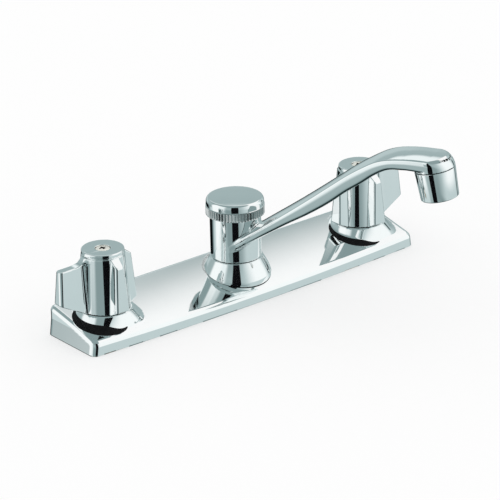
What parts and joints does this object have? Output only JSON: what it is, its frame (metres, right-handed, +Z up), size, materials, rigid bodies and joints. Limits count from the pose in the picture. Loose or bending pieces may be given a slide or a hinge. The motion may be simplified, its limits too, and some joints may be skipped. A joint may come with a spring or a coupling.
{
  "type": "kitchen faucet",
  "caption": "Kitchen faucet on a long rectangular cover plate, with finned bell-shaped lever handles and a flat, rising swing spout.",
  "frame": {"origin": "on the sink deck, under the middle of the cover plate, midway between the two handle axes", "axes": "+X along the plate towards the right handle as the user faces it, +Y away from the user, +Z up"},
  "size_m": [0.2694, 0.1581, 0.1562],
  "materials": {
    "chrome": "polished",
    "brass": "as machined",
    "steel": "zinc plated",
    "rubber": "matte",
    "nylon": "moulded",
    "acetal": "moulded"
  },
  "bodies": {
    "deck": {"deck_plate": "chrome", "spout_base_ring": "chrome", "spout_nut": "chrome", "waterway_body": "brass", "spout_post": "brass", "left_shank": "brass", "right_shank": "brass", "left_bonnet_nut": "brass", "right_bonnet_nut": "brass", "left_mounting_washer": "steel", "right_mounting_washer": "steel", "deck_gasket": "rubber", "spout_lower_o_ring": "rubber", "spout_upper_o_ring": "rubber", "left_seat_seal": "rubber", "right_seat_seal": "rubber", "spout_glide_washer": "nylon", "left_mounting_nut": "nylon", "right_mounting_nut": "nylon", "left_cartridge_body": "acetal", "right_cartridge_body": "acetal"},
    "left_handle": {"left_handle": "chrome", "left_handle_screw": "steel", "left_cartridge_stem": "brass"},
    "right_handle": {"right_handle": "chrome", "right_handle_screw": "steel", "right_cartridge_stem": "brass"},
    "spout": {"spout_arm": "chrome", "aerator_housing": "chrome", "aerator_screen": "nylon", "aerator_washer": "rubber"}
  },
  "joints": [
    {"name": "left_handle_turn", "type": "hinge", "parent": "deck", "child": "left_handle", "pos_m": [-0.1016, 0, 0.03], "axis": [0, 0, 1], "range_deg": [0, 90]},
    {"name": "right_handle_turn", "type": "hinge", "parent": "deck", "child": "right_handle", "pos_m": [0.1016, 0, 0.03], "axis": [0, 0, 1], "range_deg": [-90, 0]},
    {"name": "spout_swivel", "type": "hinge", "parent": "deck", "child": "spout", "pos_m": [0, 0, 0.04], "axis": [0, 0, 1], "continuous": true}
  ]
}
